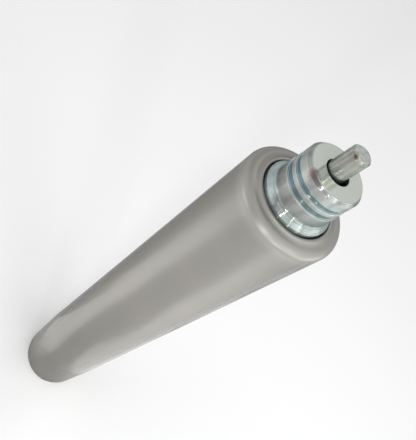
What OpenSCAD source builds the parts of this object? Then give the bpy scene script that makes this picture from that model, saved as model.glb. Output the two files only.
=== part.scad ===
// Gas lift cylinder for a swivel chair, lowered, in millimetres.
// The axis is Z and the column stands on z = 0. Every turned piece is a profile spun about Z.

/* [Column tube] */
// Length of the column from its foot to its mouth
column_len = 300; // [285:1:360]
// Outside diameter of the column
column_od = 50; // [49:0.5:54]
// Wall of the column tube
column_wall = 2; // [1.5:0.1:2.4]
// Length of the taper that presses into the chair's base
taper_len = 55; // [45:1:65]
// Half angle of that taper, in degrees
taper_angle = 1.44; // [1:0.01:1.8]
// Bevel at the foot of the column
foot_bevel = 0.6; // [0.3:0.1:1]
// How far the rounded shoulder reaches inward
shoulder_w = 4.2; // [3.5:0.1:5]
// Height of the rounded shoulder
shoulder_h = 3.7; // [3:0.1:5]
// Diameter of the mouth
mouth_d = 34.2; // [33.6:0.1:35]
// Width of the rolled bead round the mouth
bead_w = 1.4; // [1:0.1:1.8]
// Height of the bead above the dished top
bead_h = 0.3; // [0.2:0.05:0.5]
// Fall of the dished top from the bead to the shoulder
crown_fall = 0.15; // [0:0.05:0.3]

/* [Bottom plate] */
// Height of the plate's underside above the foot
plate_z = 6; // [5.5:0.5:9]
// Thickness of the plate
plate_t = 3; // [2:0.5:4]
// Wall of the plate's skirt
skirt_t = 2.5; // [1.5:0.5:3.5]
// Gap under the skirt
skirt_z = 1.5; // [1:0.5:3]

/* [Guide sleeve] */
// Length of the plastic guide sleeve
sleeve_len = 95; // [75:1:105]
// Wall of the sleeve's inner tube
sleeve_wall = 2.6; // [2:0.1:3.5]
// Thickness of the sleeve's end flanges and middle ring
sleeve_flange_t = 4.5; // [4:0.5:7]
// Number of ribs along the sleeve
sleeve_ribs = 8; // [6:1:12]
// Thickness of a rib
sleeve_rib_t = 2; // [1.5:0.1:3]

/* [Head] */
// Height of the head's flat face above the mouth
head_h = 21; // [20:0.5:26]
// Diameter of the head at the foot of its neck
neck_d = 27.8; // [27.4:0.1:28.2]
// Half angle of the neck's taper, in degrees
neck_angle = 1.44; // [0:0.01:1.8]
// Diameter of the flange
flange_d = 32.4; // [31.8:0.1:32.6]
// How far the flange's rim stands above the mouth when lowered
flange_rise = 1; // [0.6:0.1:1.6]
// Height of the flange's rim
flange_t = 2.2; // [1.8:0.1:2.6]
// Height of the cone above the rim
flange_cone_h = 1.5; // [1:0.1:2]
// Fillet between the cone and the neck
neck_fillet = 0.9; // [0.4:0.1:1.2]
// Height of the first ring groove above the mouth
groove_z = 9.2; // [8:0.1:11]
// Width of the first ring groove
groove_1_w = 2.65; // [2:0.05:2.9]
// Width of the second ring groove
groove_2_w = 2.3; // [1.8:0.05:2.6]
// Width of the land between the grooves
groove_land = 1.85; // [1.4:0.05:2.4]
// Depth of both ring grooves
groove_depth = 0.7; // [0.4:0.05:1.1]
// Height of the head's top bevel
head_bevel_h = 1.5; // [1:0.1:2]
// Width of the head's top bevel
head_bevel_w = 1.2; // [0.8:0.1:1.8]
// Length of the spigot inside the pressure tube
spigot_len = 14; // [12:1:20]
// Diameter of the hole for the release pin
pin_hole_d = 11; // [10.6:0.1:11.6]
// Diameter of the chamber for the release pin's foot
chamber_d = 14.8; // [14.4:0.1:15.4]
// Depth of the chamber's roof below the flat face
chamber_roof = 13; // [12.5:0.5:15]
// Width of the rolled crimp that locks the tube to the head
crimp_w = 3; // [2:0.1:4]
// Depth of that crimp
crimp_depth = 0.7; // [0.4:0.1:0.9]

/* [Release pin] */
// Diameter of the release pin
pin_d = 8.9; // [8.4:0.1:9.2]
// Height of the pin above the head's flat face
pin_rise = 11.9; // [9:0.1:14]
// Bevel at the pin's top
pin_bevel = 0.8; // [0.4:0.1:1.2]
// Sideways rest of the loose pin in its hole
pin_drift = 0.6; // [0:0.1:0.6]
// Diameter of the pin's foot
pin_foot_d = 13; // [12.4:0.1:13.2]
// Thickness of the pin's foot
pin_foot_t = 2.5; // [2:0.1:3]
// Diameter of the nose under the foot
pin_nose_d = 7; // [6:0.5:8]
// Length of the nose under the foot
pin_nose_len = 5; // [4:0.5:7]
// Travel of the pin when it is pressed
press_travel = 3.5; // [2.5:0.1:4]

/* [Pressure tube] */
// Outside diameter of the pressure tube
tube_d = 28; // [27.8:0.1:28.4]
// Wall of the pressure tube
tube_wall = 1.5; // [1.2:0.1:1.7]
// Inner diameter of the lip rolled over the lower end
tube_lip_d = 17; // [14:0.5:19]
// Bend radius of that lip
tube_lip_r = 2; // [1.7:0.1:2.5]

/* [Inner cylinder] */
// Outside diameter of the inner cylinder
inner_od = 22; // [21.5:0.1:22.4]
// Wall of the inner cylinder
inner_wall = 1; // [0.8:0.1:1.3]

/* [Piston rod] */
// Diameter of the piston rod
rod_d = 10; // [9.5:0.1:10.5]
// Diameter of the rod's stepped lower end
rod_end_d = 8; // [7.5:0.1:8.4]
// Height of the rod's lower end above the foot
rod_end_z = 1; // [0.6:0.1:1.5]
// Diameter of the rod's stepped upper end
rod_tip_d = 6; // [5.5:0.1:7]
// Diameter of the riveted head at the rod's tip
rivet_d = 9; // [8.5:0.1:10]
// Height of the riveted head
rivet_h = 1.8; // [1.4:0.1:2.4]
// Stroke of the lift
stroke = 160; // [120:1:172]

/* [Piston] */
// Height of the piston
piston_h = 9; // [8:0.5:11]
// Diameter of the section of the piston's seal
piston_seal_w = 2.4; // [2:0.1:2.8]
// Diameter of the washer over the piston
piston_washer_d = 14; // [12:0.5:16]
// Thickness of that washer
piston_washer_t = 1.5; // [1:0.1:2]

/* [Rod guide] */
// Thickness of the end washer behind the rolled lip
end_washer_t = 2; // [1.5:0.1:3]
// Thickness of the rod seal
rod_seal_t = 5; // [4:0.5:7]
// Height of each of the rod seal's two lips
seal_lip_h = 1; // [0.6:0.1:1.3]
// Depth of the hollow between the lips
seal_hollow = 0.9; // [0.5:0.1:1.4]
// Height of the guide below the inner cylinder
guide_h = 12; // [10:0.5:15]
// Height of the guide's spigot inside the inner cylinder
guide_spigot_h = 4; // [3:0.5:5]
// Wall of the bush that lines the guide
bush_wall = 1; // [0.8:0.1:1.4]
// Diameter of the section of the guide's ring seal
guide_ring_w = 2.6; // [2:0.1:2.8]
// Height of that seal above the guide's lower face
guide_ring_rise = 4.8; // [3:0.1:6]
// Depth of the gas notches below the guide's shoulder
notch_depth = 2.4; // [1.5:0.1:3]
// Number of gas notches in the guide's spigot
notch_count = 4; // [3:1:6]
// Width of a gas notch
notch_w = 2.4; // [1.5:0.1:3]

/* [Valve] */
// Height of the valve body's sealed upper part
valve_top_h = 7; // [6.5:0.5:9]
// Height of the valve body's waist with the gas port
valve_waist_h = 4; // [3.5:0.5:6]
// Height of the valve body's spigot inside the inner cylinder
valve_spigot_h = 6; // [5.5:0.5:8]
// Diameter of the section of the valve body's ring seal
valve_ring_w = 2.4; // [2:0.1:2.6]
// Diameter of the section of the spigot's ring seal
spigot_ring_w = 1.8; // [1.5:0.1:2]
// Depth of that seal below the waist
spigot_ring_drop = 2; // [1.8:0.1:3]
// Diameter of the valve stem
stem_d = 4; // [3.6:0.1:4.4]
// Diameter of the stem's waist
stem_waist_d = 2.6; // [2:0.1:3]
// Thickness of the stem's lower head
stem_head_t = 1.5; // [1.2:0.1:1.8]
// Diameter of the section of the stem's seals
stem_seal_w = 1.8; // [1.5:0.1:2]
// Thickness of the retainer over the upper stem seal
retainer_t = 1.2; // [0.8:0.1:1.6]
// How far the retainer reaches past the seal's pocket
retainer_lap = 1; // [0.6:0.1:1.6]
// Diameter of the gas port across the waist
port_d = 1.6; // [1:0.1:2.2]

/* [Thrust bearing] */
// Outside diameter of the bearing
bearing_od = 22; // [20:0.5:24]
// Thickness of a bearing race
race_t = 2; // [1.8:0.1:2.6]
// Diameter of a ball
ball_d = 3.97; // [3.5:0.01:4.2]
// Number of balls
ball_count = 9; // [7:1:10]
// How deep a ball sits in each race
race_bite = 0.6; // [0.4:0.05:0.8]
// Thickness of the ball cage
cage_t = 1.6; // [1.2:0.1:2]
// Margin between the rims of the cage and of the races
cage_margin = 1; // [0.6:0.1:1.2]

/* [Washers, buffer and clip] */
// Diameter of the support washer over the bearing
support_d = 24; // [22:0.5:27]
// Thickness of the support washer
support_t = 2.5; // [2:0.1:3.5]
// Diameter of the rubber buffer
buffer_d = 21; // [19:0.5:24]
// Height of the rubber buffer
buffer_h = 14; // [10:0.5:20]
// Depth of the buffer's waist
buffer_waist = 2; // [1:0.1:3]
// Height of the buffer's waist
buffer_waist_h = 6; // [4:0.2:7]
// Bevel on the buffer's rims
buffer_bevel = 1; // [0.6:0.1:1.4]
// Diameter of the washer over the clip
clip_washer_d = 18; // [16:0.5:22]
// Thickness of that washer
clip_washer_t = 1.5; // [1:0.1:1.8]
// Thickness of the retaining clip
clip_t = 1.2; // [0.8:0.1:1.4]
// Outside diameter of the retaining clip
clip_d = 15; // [14:0.5:17]
// Depth of the clip's groove in the rod
clip_bite = 1; // [0.6:0.1:1.2]
// Width of each of the clip's teeth
clip_tooth_w = 3; // [2:0.1:4]
// Hollow between the rod and the clip, beside the teeth
clip_hollow = 0.8; // [0.5:0.1:1.2]

/* [Edges] */
// Bevel on the ends of turned pieces
turned_edge = 0.5; // [0.3:0.1:0.7]
// Bevel on washers, races and rims
fine_edge = 0.3; // [0.2:0.05:0.4]

/* [Clearances] */
// Gap between pieces that lie face to face
seat_gap = 0.05; // [0.02:0.01:0.1]
// Radial gap of a piece that slides or turns in a fit
run_gap = 0.05; // [0.02:0.01:0.08]
// Gap of pieces that pass each other without a fit
free_gap = 0.3; // [0.2:0.05:0.4]
// Gap between a ball and its races and cage
ball_gap = 0.08; // [0.04:0.01:0.12]

/* [Hidden] */
$fn = 96;
arc_steps = 14;

// Column: radii, and the heights of its shoulder
column_r = column_od / 2;
bore_r = column_r - column_wall;
mouth_r = mouth_d / 2;
taper_in = taper_len * tan(taper_angle);
foot_r = column_r - taper_in;
crown_z = column_len - bead_h;
shoulder_top = crown_z - crown_fall;
shoulder_z = shoulder_top - shoulder_h;
shoulder_r = column_r - shoulder_w;

// Stack on the bottom plate, from the plate up to the pressure tube
plate_top = plate_z + plate_t;
ball_r = ball_d / 2;
race_low_z = plate_top + seat_gap;
ball_z = race_low_z + race_t + ball_r - race_bite;
race_high_z = ball_z + ball_r - race_bite;
support_z = race_high_z + race_t + seat_gap;
rod_step_z = support_z + support_t + seat_gap;
tube_z = rod_step_z + buffer_h + free_gap;
ball_ring_r = (rod_end_d + bearing_od) / 4;
clip_washer_z = plate_z - seat_gap - clip_washer_t;
clip_z = clip_washer_z - seat_gap - clip_t;
rod_end_r = rod_end_d / 2;
rod_r = rod_d / 2;

// Guide stack in the lower end of the pressure tube
tube_r = tube_d / 2;
tube_bore_r = tube_r - tube_wall;
pack_r = tube_bore_r - seat_gap;
end_washer_z = tube_z + tube_wall + seat_gap;
rod_seal_z = end_washer_z + end_washer_t + seat_gap;
guide_z = rod_seal_z + rod_seal_t + seat_gap;
guide_top = guide_z + guide_h;
guide_ring_z = guide_z + guide_ring_rise;
inner_z = guide_top + seat_gap;
inner_r = inner_od / 2;
inner_bore_r = inner_r - inner_wall;

// Head, measured from the mouth of the column
face_z = column_len + head_h;
flange_r = flange_d / 2;
flange_top = column_len + flange_rise;
flange_under = flange_top - flange_t;
spigot_z = flange_under - spigot_len;
tube_top = flange_under - seat_gap;
crimp_z = (flange_under + spigot_z) / 2;
groove_1_z = column_len + groove_z;
groove_2_z = groove_1_z + groove_1_w + groove_land;
roof_z = face_z - chamber_roof;
function neck_r(z) = neck_d / 2 - (z - column_len) * tan(neck_angle);

// Valve body, hanging from the head's spigot
valve_top = spigot_z - seat_gap;
waist_top = valve_top - valve_top_h;
waist_bottom = waist_top - valve_waist_h;
valve_bottom = waist_bottom - valve_spigot_h;
valve_ring_z = (valve_top + waist_top) / 2;
spigot_ring_z = waist_bottom - spigot_ring_drop;
port_z = (waist_top + waist_bottom) / 2;
stem_r = stem_d / 2;
stem_bore_r = stem_r + run_gap;
seal_pocket_r = stem_r + stem_seal_w + seat_gap;
retainer_pocket_r = seal_pocket_r + retainer_lap;
retainer_z = valve_top - retainer_t;
stem_seal_z = retainer_z - seat_gap - stem_seal_w / 2;
seat_pocket_h = stem_head_t + stem_seal_w + 3 * seat_gap;
seat_seal_z = valve_bottom + seat_pocket_h - seat_gap - stem_seal_w / 2;
stem_head_top = seat_seal_z - stem_seal_w / 2 - seat_gap;

// Release pin, its foot just under the chamber's roof
pin_r = pin_d / 2;
pin_top = face_z + pin_rise;
foot_top = roof_z - free_gap;
foot_bottom = foot_top - pin_foot_t;
nose_bottom = foot_bottom - pin_nose_len;
stem_top = nose_bottom - seat_gap;

// Piston: at full stroke the rod guide comes up to it
piston_z = guide_top + guide_spigot_h + stroke + free_gap;
piston_top = piston_z + piston_h;
piston_washer_z = piston_top + seat_gap;
rivet_z = piston_washer_z + piston_washer_t + seat_gap;
piston_seal_z = (piston_z + piston_top) / 2;

// Points on a quarter of an oval, from angle t0 to t1
function oval(cr, cz, rw, rh, t0, t1) =
    [for (i = [0:arc_steps]) let (t = t0 + (t1 - t0) * i / arc_steps)
        [cr + rw * cos(t), cz + rh * sin(t)]];

// A turned piece: its half section spun about the axis
module turned(section) {
    rotate_extrude() polygon(section);
}

// A plain ring with square edges
module ring(r_out, r_in, h, z) {
    turned([[r_in, z], [r_out, z], [r_out, z + h], [r_in, z + h]]);
}

// A ring with both outer edges bevelled
module eased_ring(r_out, r_in, h, z, bevel) {
    turned([
        [r_in, z], [r_out - bevel, z], [r_out, z + bevel],
        [r_out, z + h - bevel], [r_out - bevel, z + h], [r_in, z + h]
    ]);
}

// A ring of round section
module round_ring(mean_r, w, z) {
    rotate_extrude() translate([mean_r, z]) circle(d = w, $fn = 32);
}

// Drawn steel tube: tapered foot, straight body, rounded shoulder and rolled mouth
module column_tube() {
    outer_shoulder = oval(shoulder_r, shoulder_z, shoulder_w, shoulder_h, 0, 90);
    inner_shoulder = oval(
        shoulder_r, shoulder_z,
        shoulder_w - column_wall, shoulder_h - column_wall, 90, 0
    );
    bead = oval(mouth_r + bead_w / 2, crown_z, bead_w / 2, bead_h, 0, 180);
    color([0.63, 0.62, 0.6])
    turned(concat(
        [[foot_r - foot_bevel, 0], [foot_r, foot_bevel], [column_r, taper_len]],
        outer_shoulder,
        bead,
        [[mouth_r, crown_z - column_wall]],
        inner_shoulder,
        [[bore_r, taper_len], [foot_r - column_wall, 0]]
    ));
}

// Pressed cup welded into the tapered foot; it carries the bearing
module bottom_plate() {
    function wall_r(z) = foot_r - column_wall + z * tan(taper_angle) - seat_gap;
    color([0.5, 0.5, 0.5])
    turned([
        [rod_end_r + free_gap, plate_z],
        [wall_r(plate_z) - skirt_t, plate_z],
        [wall_r(skirt_z) - skirt_t, skirt_z],
        [wall_r(skirt_z), skirt_z],
        [wall_r(plate_top), plate_top],
        [rod_end_r + free_gap, plate_top]
    ]);
}

// Plastic sleeve that guides the pressure tube; ribs keep its wall thin
module guide_sleeve() {
    top = crown_z - crown_fall - column_wall - free_gap;
    low = top - sleeve_len;
    hole_r = tube_r + run_gap;
    skin_r = hole_r + sleeve_wall;
    rim_r = bore_r - seat_gap;
    rim_bevel = shoulder_w - column_wall + 2 * free_gap;
    middle = (top + low - sleeve_flange_t) / 2;
    color([0.12, 0.12, 0.13])
    union() {
        turned([
            [hole_r, low], [rim_r, low], [rim_r, low + sleeve_flange_t],
            [skin_r, low + sleeve_flange_t], [skin_r, middle], [rim_r, middle],
            [rim_r, middle + sleeve_flange_t], [skin_r, middle + sleeve_flange_t],
            [skin_r, top - sleeve_flange_t], [rim_r, top - sleeve_flange_t],
            [rim_r, top - rim_bevel], [rim_r - rim_bevel, top], [hole_r, top]
        ]);
        intersection() {
            ring(rim_r, skin_r - sleeve_wall / 2, top - low - sleeve_flange_t, low + sleeve_flange_t / 2);
            for (i = [0:sleeve_ribs - 1])
                rotate(360 / sleeve_ribs * i)
                translate([0, -sleeve_rib_t / 2, low])
                cube([column_r, sleeve_rib_t, top - low]);
        }
    }
}

// One race of the thrust bearing, with its groove facing the balls
module race(z) {
    difference() {
        eased_ring(bearing_od / 2, rod_end_r + run_gap, race_t, z, fine_edge);
        round_ring(ball_ring_r, ball_d + 2 * ball_gap, ball_z);
    }
}

module bearing_race_lower() {
    color([0.62, 0.63, 0.65]) race(race_low_z);
}

module bearing_race_upper() {
    color([0.62, 0.63, 0.65]) race(race_high_z);
}

// Places something at every ball
module at_balls() {
    for (i = [0:ball_count - 1])
        rotate(360 / ball_count * i)
        translate([ball_ring_r, 0, ball_z])
        children();
}

// Pressed cage that keeps the balls apart
module ball_cage() {
    color([0.7, 0.62, 0.42])
    difference() {
        ring(bearing_od / 2 - cage_margin, rod_end_r + cage_margin, cage_t, ball_z - cage_t / 2);
        at_balls() sphere(r = ball_r + ball_gap, $fn = 48);
    }
}

module bearing_balls() {
    color([0.8, 0.8, 0.82])
    at_balls() sphere(r = ball_r, $fn = 48);
}

// Ground rod: clip groove and step at the foot, riveted tip above the piston
module piston_rod() {
    groove_r = rod_end_r - clip_bite;
    tip_r = rod_tip_d / 2;
    rivet_r = rivet_d / 2;
    color([0.75, 0.76, 0.78])
    turned(concat(
        [
            [0, rod_end_z], [rod_end_r - turned_edge, rod_end_z],
            [rod_end_r, rod_end_z + turned_edge],
            [rod_end_r, clip_z - seat_gap], [groove_r, clip_z - seat_gap],
            [groove_r, clip_z + clip_t + seat_gap],
            [rod_end_r, clip_z + clip_t + seat_gap],
            [rod_end_r, rod_step_z], [rod_r, rod_step_z],
            [rod_r, piston_z - seat_gap], [tip_r, piston_z - seat_gap],
            [tip_r, rivet_z]
        ],
        oval(0, rivet_z, rivet_r, rivet_h, 0, 90)
    ));
}

module support_washer() {
    color([0.45, 0.45, 0.47])
    eased_ring(support_d / 2, rod_end_r + run_gap, support_t, support_z, fine_edge);
}

// Rubber ring with a waist, the stop for the lowered tube
module rubber_buffer() {
    top = rod_step_z + buffer_h;
    r = buffer_d / 2;
    color([0.07, 0.07, 0.07])
    turned(concat(
        [
            [rod_r + run_gap, rod_step_z], [r - buffer_bevel, rod_step_z],
            [r, rod_step_z + buffer_bevel]
        ],
        oval(r, (rod_step_z + top) / 2, buffer_waist, buffer_waist_h / 2, 270, 90),
        [[r, top - buffer_bevel], [r - buffer_bevel, top], [rod_r + run_gap, top]]
    ));
}

module clip_washer() {
    color([0.66, 0.66, 0.68])
    ring(clip_washer_d / 2, rod_end_r + run_gap, clip_washer_t, clip_washer_z);
}

// Flat spring clip with three teeth, open at one side to slide into its groove
module retaining_clip() {
    throat_r = rod_end_r - clip_bite + seat_gap;
    hollow_r = rod_end_r + clip_hollow;
    color([0.3, 0.3, 0.32])
    translate([0, 0, clip_z])
    linear_extrude(clip_t)
    difference() {
        circle(d = clip_d);
        circle(r = throat_r);
        translate([0, -throat_r]) square([clip_d, 2 * throat_r]);
        difference() {
            circle(r = hollow_r);
            for (a = [90, 180, 270])
                rotate(a) translate([0, -clip_tooth_w / 2]) square([clip_d, clip_tooth_w]);
        }
    }
}

// Piston with a groove for its seal, running in the inner cylinder
module piston() {
    r = inner_bore_r - run_gap;
    groove_r = r - piston_seal_w - seat_gap;
    half_w = piston_seal_w / 2 + seat_gap;
    color([0.72, 0.66, 0.5])
    turned([
        [rod_tip_d / 2 + run_gap, piston_z], [r - turned_edge, piston_z],
        [r, piston_z + turned_edge],
        [r, piston_seal_z - half_w], [groove_r, piston_seal_z - half_w],
        [groove_r, piston_seal_z + half_w], [r, piston_seal_z + half_w],
        [r, piston_top - turned_edge], [r - turned_edge, piston_top],
        [rod_tip_d / 2 + run_gap, piston_top]
    ]);
}

module piston_seal() {
    color([0.1, 0.1, 0.1])
    round_ring(inner_bore_r - run_gap - piston_seal_w / 2, piston_seal_w, piston_seal_z);
}

module piston_washer() {
    color([0.6, 0.6, 0.62])
    ring(piston_washer_d / 2, rod_tip_d / 2 + run_gap, piston_washer_t, piston_washer_z);
}

// Pressure tube: crimped to the head above, rolled over the guide stack below
module pressure_tube() {
    low_out = oval(tube_r - tube_lip_r, tube_z + tube_lip_r, tube_lip_r, tube_lip_r, -90, 0);
    inner_bend = tube_lip_r - tube_wall;
    low_in = oval(tube_bore_r - inner_bend, tube_z + tube_lip_r, inner_bend, inner_bend, 0, -90);
    crimp_out = oval(tube_r, crimp_z, crimp_depth, crimp_w / 2, 270, 90);
    crimp_in = oval(tube_bore_r, crimp_z, crimp_depth, crimp_w / 2, 90, 270);
    color([0.2, 0.2, 0.21])
    turned(concat(
        [[tube_lip_d / 2, tube_z]],
        low_out,
        crimp_out,
        [[tube_r, tube_top], [tube_bore_r, tube_top]],
        crimp_in,
        low_in,
        [[tube_lip_d / 2, tube_z + tube_wall]]
    ));
}

// Turned head: spigot, flange, tapered neck with two ring grooves, and a bored chamber
module tapered_head() {
    groove_1_top = groove_1_z + groove_1_w;
    groove_2_top = groove_2_z + groove_2_w;
    fillet_z = flange_top + flange_cone_h + neck_fillet;
    fillet_r = neck_r(fillet_z);
    fillet_start = 250;
    bevel_z = face_z - head_bevel_h;
    hole_r = pin_hole_d / 2;
    color([0.68, 0.71, 0.7])
    turned(concat(
        [[chamber_d / 2, spigot_z], [pack_r, spigot_z]],
        oval(pack_r, crimp_z, crimp_depth, crimp_w / 2 + seat_gap, 270, 90),
        [
            [pack_r, flange_under], [flange_r, flange_under],
            [flange_r, flange_top - fine_edge], [flange_r - fine_edge, flange_top]
        ],
        oval(fillet_r + neck_fillet, fillet_z, neck_fillet, neck_fillet, fillet_start, 180),
        [
            [neck_r(groove_1_z), groove_1_z],
            [neck_r(groove_1_z) - groove_depth, groove_1_z],
            [neck_r(groove_1_top) - groove_depth, groove_1_top],
            [neck_r(groove_1_top), groove_1_top],
            [neck_r(groove_2_z), groove_2_z],
            [neck_r(groove_2_z) - groove_depth, groove_2_z],
            [neck_r(groove_2_top) - groove_depth, groove_2_top],
            [neck_r(groove_2_top), groove_2_top],
            [neck_r(bevel_z), bevel_z],
            [neck_r(bevel_z) - head_bevel_w, face_z],
            [hole_r + fine_edge, face_z], [hole_r, face_z - fine_edge],
            [hole_r, roof_z], [chamber_d / 2, roof_z]
        ]
    ));
}

module inner_cylinder() {
    color([0.7, 0.71, 0.73])
    ring(inner_r, inner_bore_r, waist_bottom - seat_gap - inner_z, inner_z);
}

// Washer behind the rolled lip, bevelled where the lip bends
module end_washer() {
    bend = tube_lip_r - tube_wall;
    top = end_washer_z + end_washer_t;
    color([0.55, 0.55, 0.57])
    turned([
        [rod_r + free_gap, end_washer_z], [pack_r - bend, end_washer_z],
        [pack_r, end_washer_z + bend], [pack_r, top], [rod_r + free_gap, top]
    ]);
}

// Lip seal: a thick rubber ring with two lips on the rod
module rod_seal() {
    lip_r = rod_r + run_gap;
    top = rod_seal_z + rod_seal_t;
    hollow_h = rod_seal_t / 2 - seal_lip_h;
    color([0.09, 0.09, 0.1])
    turned(concat(
        [[lip_r, rod_seal_z], [pack_r, rod_seal_z], [pack_r, top], [lip_r, top]],
        oval(lip_r, (rod_seal_z + top) / 2, seal_hollow, hollow_h, 90, -90)
    ));
}

// Guide for the rod; its spigot centres the inner cylinder and notches pass the gas
module rod_guide() {
    hole_r = rod_r + run_gap + bush_wall + seat_gap;
    ring_r = tube_bore_r - guide_ring_w - seat_gap;
    half_w = guide_ring_w / 2 + seat_gap;
    shelf_z = guide_top - notch_depth;
    spigot_top = guide_top + guide_spigot_h;
    spigot_out = inner_bore_r - seat_gap;
    color([0.66, 0.67, 0.68])
    difference() {
        turned([
            [hole_r, guide_z], [pack_r, guide_z], [pack_r, guide_ring_z - half_w],
            [ring_r, guide_ring_z - half_w], [ring_r, guide_ring_z + half_w],
            [pack_r, guide_ring_z + half_w], [pack_r, shelf_z], [inner_r, shelf_z],
            [inner_r, guide_top], [spigot_out, guide_top],
            [spigot_out, spigot_top - turned_edge], [spigot_out - turned_edge, spigot_top],
            [hole_r, spigot_top]
        ]);
        for (i = [0:notch_count - 1])
            rotate(360 / notch_count * i)
            translate([hole_r + bush_wall, -notch_w / 2, shelf_z])
            cube([tube_bore_r, notch_w, tube_bore_r]);
    }
}

// Low-friction bush that lines the guide
module rod_bush() {
    color([0.36, 0.42, 0.38])
    ring(rod_r + run_gap + bush_wall, rod_r + run_gap, guide_h + guide_spigot_h / 2, guide_z);
}

module guide_ring_seal() {
    color([0.1, 0.1, 0.1])
    round_ring(tube_bore_r - seat_gap - guide_ring_w / 2, guide_ring_w, guide_ring_z);
}

// Valve body: sealed in the tube above and in the inner cylinder below, with a cross port between
module valve_body() {
    top_groove_r = tube_bore_r - valve_ring_w - 2 * seat_gap;
    top_half = valve_ring_w / 2 + seat_gap;
    low_r = inner_bore_r - seat_gap;
    low_groove_r = inner_bore_r - spigot_ring_w - 2 * seat_gap;
    low_half = spigot_ring_w / 2 + seat_gap;
    seal_floor = retainer_z - stem_seal_w - 2 * seat_gap;
    pocket_roof = valve_bottom + seat_pocket_h;
    color([0.78, 0.66, 0.36])
    difference() {
        turned([
            [stem_bore_r, pocket_roof], [seal_pocket_r, pocket_roof],
            [seal_pocket_r, valve_bottom], [low_r, valve_bottom],
            [low_r, spigot_ring_z - low_half], [low_groove_r, spigot_ring_z - low_half],
            [low_groove_r, spigot_ring_z + low_half], [low_r, spigot_ring_z + low_half],
            [low_r, waist_bottom], [inner_r, waist_bottom], [inner_r, waist_top],
            [pack_r, waist_top], [pack_r, valve_ring_z - top_half],
            [top_groove_r, valve_ring_z - top_half], [top_groove_r, valve_ring_z + top_half],
            [pack_r, valve_ring_z + top_half], [pack_r, valve_top],
            [retainer_pocket_r, valve_top], [retainer_pocket_r, retainer_z - seat_gap],
            [seal_pocket_r, retainer_z - seat_gap], [seal_pocket_r, seal_floor],
            [stem_bore_r, seal_floor]
        ]);
        translate([0, 0, port_z]) rotate([0, 90, 0]) cylinder(d = port_d, h = inner_od, center = true);
    }
}

module valve_ring_seal() {
    color([0.1, 0.1, 0.1])
    round_ring(tube_bore_r - seat_gap - valve_ring_w / 2, valve_ring_w, valve_ring_z);
}

module spigot_ring_seal() {
    color([0.1, 0.1, 0.1])
    round_ring(inner_bore_r - seat_gap - spigot_ring_w / 2, spigot_ring_w, spigot_ring_z);
}

module stem_seal() {
    color([0.1, 0.1, 0.1])
    round_ring(stem_r + run_gap + stem_seal_w / 2 - seat_gap / 2, stem_seal_w - seat_gap, stem_seal_z);
}

module stem_seal_retainer() {
    color([0.85, 0.84, 0.8])
    ring(retainer_pocket_r - seat_gap, stem_bore_r, retainer_t - seat_gap, retainer_z);
}

module valve_seat_seal() {
    color([0.1, 0.1, 0.1])
    round_ring(stem_r + run_gap + stem_seal_w / 2 - seat_gap / 2, stem_seal_w - seat_gap, seat_seal_z);
}

// Release pin: loose in the head, held in by its foot, with its nose on the valve stem
module release_pin() {
    rim_r = pin_foot_d / 2;
    nose_r = pin_nose_d / 2;
    color([0.66, 0.69, 0.67])
    translate([-pin_drift, 0, 0])
    turned([
        [0, nose_bottom], [nose_r, nose_bottom], [nose_r, foot_bottom],
        [rim_r - fine_edge, foot_bottom], [rim_r, foot_bottom + fine_edge],
        [rim_r, foot_top], [pin_r, foot_top],
        [pin_r, pin_top - pin_bevel], [pin_r - pin_bevel, pin_top], [0, pin_top]
    ]);
}

// Valve stem: a head under the seat seal, and a waist that reaches the port when it is pressed
module valve_stem() {
    waist_r = stem_waist_d / 2;
    head_r = seal_pocket_r - free_gap;
    waist_low = valve_bottom + seat_pocket_h + stem_r;
    waist_high = port_z + press_travel;
    color([0.74, 0.75, 0.77])
    turned([
        [0, stem_head_top - stem_head_t], [head_r, stem_head_top - stem_head_t],
        [head_r, stem_head_top - stem_head_t / 2], [stem_r, stem_head_top],
        [stem_r, waist_low - stem_r / 2], [waist_r, waist_low], [waist_r, waist_high],
        [stem_r, waist_high + stem_r / 2], [stem_r, stem_top - fine_edge],
        [stem_r - fine_edge, stem_top], [0, stem_top]
    ]);
}

column_tube();
bottom_plate();
guide_sleeve();
bearing_race_lower();
ball_cage();
bearing_balls();
piston_rod();
bearing_race_upper();
support_washer();
rubber_buffer();
clip_washer();
retaining_clip();
piston();
piston_seal();
piston_washer();
pressure_tube();
tapered_head();
inner_cylinder();
end_washer();
rod_seal();
rod_guide();
rod_bush();
guide_ring_seal();
valve_body();
valve_ring_seal();
spigot_ring_seal();
stem_seal();
stem_seal_retainer();
valve_seat_seal();
release_pin();
valve_stem();
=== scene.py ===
import bpy
import math
from mathutils import Matrix, Vector


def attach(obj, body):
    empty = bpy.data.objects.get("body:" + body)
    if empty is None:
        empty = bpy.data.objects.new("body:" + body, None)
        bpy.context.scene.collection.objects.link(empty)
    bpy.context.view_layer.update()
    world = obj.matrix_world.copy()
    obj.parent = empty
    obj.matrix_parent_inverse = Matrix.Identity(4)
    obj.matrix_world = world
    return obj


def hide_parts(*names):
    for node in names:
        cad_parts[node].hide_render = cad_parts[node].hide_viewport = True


# A chair's gas lift, lowered and standing on its foot. Sizes are in millimetres; MM turns them to metres.
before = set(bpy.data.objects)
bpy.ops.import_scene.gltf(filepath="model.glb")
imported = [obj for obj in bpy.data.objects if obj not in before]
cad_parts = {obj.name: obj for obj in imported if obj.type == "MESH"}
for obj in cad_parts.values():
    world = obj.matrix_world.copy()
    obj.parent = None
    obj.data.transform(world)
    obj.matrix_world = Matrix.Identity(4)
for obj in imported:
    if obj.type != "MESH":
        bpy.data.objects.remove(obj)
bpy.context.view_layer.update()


# Column tube. Drawn steel tube, swaged to a taper at the foot that wedges into the chair's base, and spun
# inward at the top to a rounded shoulder with a rolled bead round the mouth. It is sprayed with a satin
# silver-grey coat, which shows the spinning marks of the shoulder and a faint orange peel on the wall.
MM = 0.001
COLUMN_LEN = 300.0
COLUMN_R = 25.0
COLUMN_WALL = 2.0
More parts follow.
